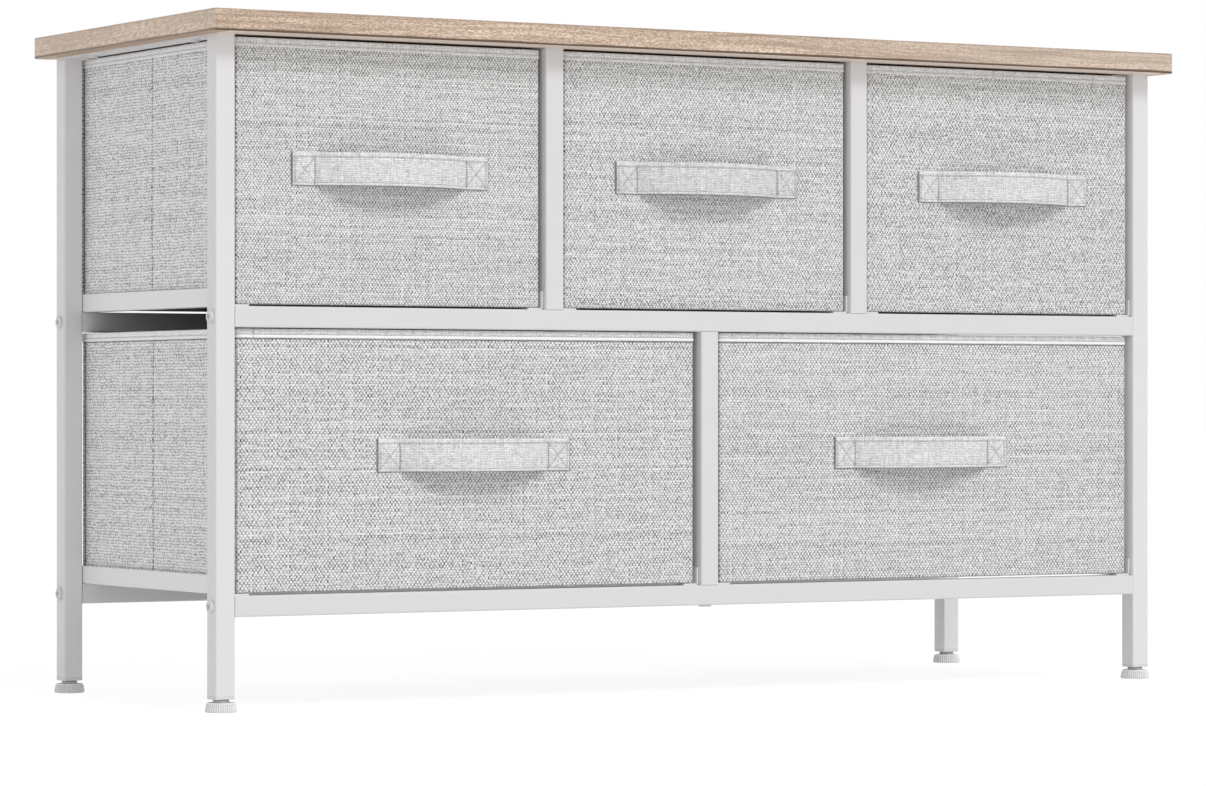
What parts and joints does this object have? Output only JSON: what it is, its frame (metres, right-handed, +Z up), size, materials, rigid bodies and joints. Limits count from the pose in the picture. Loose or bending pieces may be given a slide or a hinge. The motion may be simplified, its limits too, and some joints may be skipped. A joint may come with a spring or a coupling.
{
  "type": "fabric drawer dresser",
  "caption": "Low wide dresser: square steel tube frame on levelling feet, wooden top board, and two rows of pull-out fabric drawers with sewn strap handles.",
  "frame": {"origin": "on the floor, under the middle of the top board, which is the widest and deepest piece", "axes": "+X along the board's long side, to the right when facing the handle straps; +Y to the rear, away from the straps; +Z up"},
  "size_m": [1, 0.376, 0.59],
  "materials": {
    "oak_top": "satin",
    "white_steel": "satin",
    "painted_fasteners": "satin",
    "zinc_steel": "satin",
    "foot_plastic": "matte",
    "plug_plastic": "matte",
    "drawer_fabric": "matte",
    "hem_fabric": "matte",
    "strap_fabric": "matte",
    "base_board": "matte"
  },
  "bodies": {
    "root": {"front_bottom_rail": "white_steel", "front_left_leg": "white_steel", "front_lower_post": "white_steel", "front_mid_rail": "white_steel", "front_right_leg": "white_steel", "front_upper_left_post": "white_steel", "front_upper_right_post": "white_steel", "left_frame_bolts": "painted_fasteners", "left_top_bar": "white_steel", "leg_plugs": "plug_plastic", "lower_divider_runners": "white_steel", "lower_left_runner": "white_steel", "lower_right_runner": "white_steel", "post_screws": "painted_fasteners", "post_top_studs": "zinc_steel", "rear_bottom_rail": "white_steel", "rear_left_leg": "white_steel", "rear_lower_post": "white_steel", "rear_mid_rail": "white_steel", "rear_right_leg": "white_steel", "rear_upper_left_post": "white_steel", "rear_upper_right_post": "white_steel", "right_frame_bolts": "painted_fasteners", "right_top_bar": "white_steel", "top_bar_screws": "painted_fasteners", "top_board": "oak_top", "tube_end_inserts": "plug_plastic", "upper_left_divider_runners": "white_steel", "upper_left_runner": "white_steel", "upper_right_divider_runners": "white_steel", "upper_right_runner": "white_steel"},
    "upper_left_drawer": {"upper_left_drawer_base_board": "base_board", "upper_left_drawer_box": "drawer_fabric", "upper_left_drawer_hem": "hem_fabric", "upper_left_drawer_strap": "strap_fabric"},
    "upper_centre_drawer": {"upper_centre_drawer_base_board": "base_board", "upper_centre_drawer_box": "drawer_fabric", "upper_centre_drawer_hem": "hem_fabric", "upper_centre_drawer_strap": "strap_fabric"},
    "upper_right_drawer": {"upper_right_drawer_base_board": "base_board", "upper_right_drawer_box": "drawer_fabric", "upper_right_drawer_hem": "hem_fabric", "upper_right_drawer_strap": "strap_fabric"},
    "lower_left_drawer": {"lower_left_drawer_base_board": "base_board", "lower_left_drawer_box": "drawer_fabric", "lower_left_drawer_hem": "hem_fabric", "lower_left_drawer_strap": "strap_fabric"},
    "lower_right_drawer": {"lower_right_drawer_base_board": "base_board", "lower_right_drawer_box": "drawer_fabric", "lower_right_drawer_hem": "hem_fabric", "lower_right_drawer_strap": "strap_fabric"},
    "front_left_foot": {"front_left_foot": "foot_plastic", "front_left_foot_stud": "zinc_steel"},
    "rear_left_foot": {"rear_left_foot": "foot_plastic", "rear_left_foot_stud": "zinc_steel"},
    "front_right_foot": {"front_right_foot": "foot_plastic", "front_right_foot_stud": "zinc_steel"},
    "rear_right_foot": {"rear_right_foot": "foot_plastic", "rear_right_foot_stud": "zinc_steel"}
  },
  "joints": [
    {"name": "upper_left_drawer_slide", "type": "slide", "parent": "root", "child": "upper_left_drawer", "axis": [0, -1, 0], "range_m": [0, 0.24]},
    {"name": "upper_centre_drawer_slide", "type": "slide", "parent": "root", "child": "upper_centre_drawer", "axis": [0, -1, 0], "range_m": [0, 0.24]},
    {"name": "upper_right_drawer_slide", "type": "slide", "parent": "root", "child": "upper_right_drawer", "axis": [0, -1, 0], "range_m": [0, 0.24]},
    {"name": "lower_left_drawer_slide", "type": "slide", "parent": "root", "child": "lower_left_drawer", "axis": [0, -1, 0], "range_m": [0, 0.24]},
    {"name": "lower_right_drawer_slide", "type": "slide", "parent": "root", "child": "lower_right_drawer", "axis": [0, -1, 0], "range_m": [0, 0.24]},
    {"name": "front_left_foot_screw", "type": "slide", "parent": "root", "child": "front_left_foot", "axis": [0, 0, -1], "range_m": [0, 0.01]},
    {"name": "rear_left_foot_screw", "type": "slide", "parent": "root", "child": "rear_left_foot", "axis": [0, 0, -1], "range_m": [0, 0.01]},
    {"name": "front_right_foot_screw", "type": "slide", "parent": "root", "child": "front_right_foot", "axis": [0, 0, -1], "range_m": [0, 0.01]},
    {"name": "rear_right_foot_screw", "type": "slide", "parent": "root", "child": "rear_right_foot", "axis": [0, 0, -1], "range_m": [0, 0.01]}
  ]
}
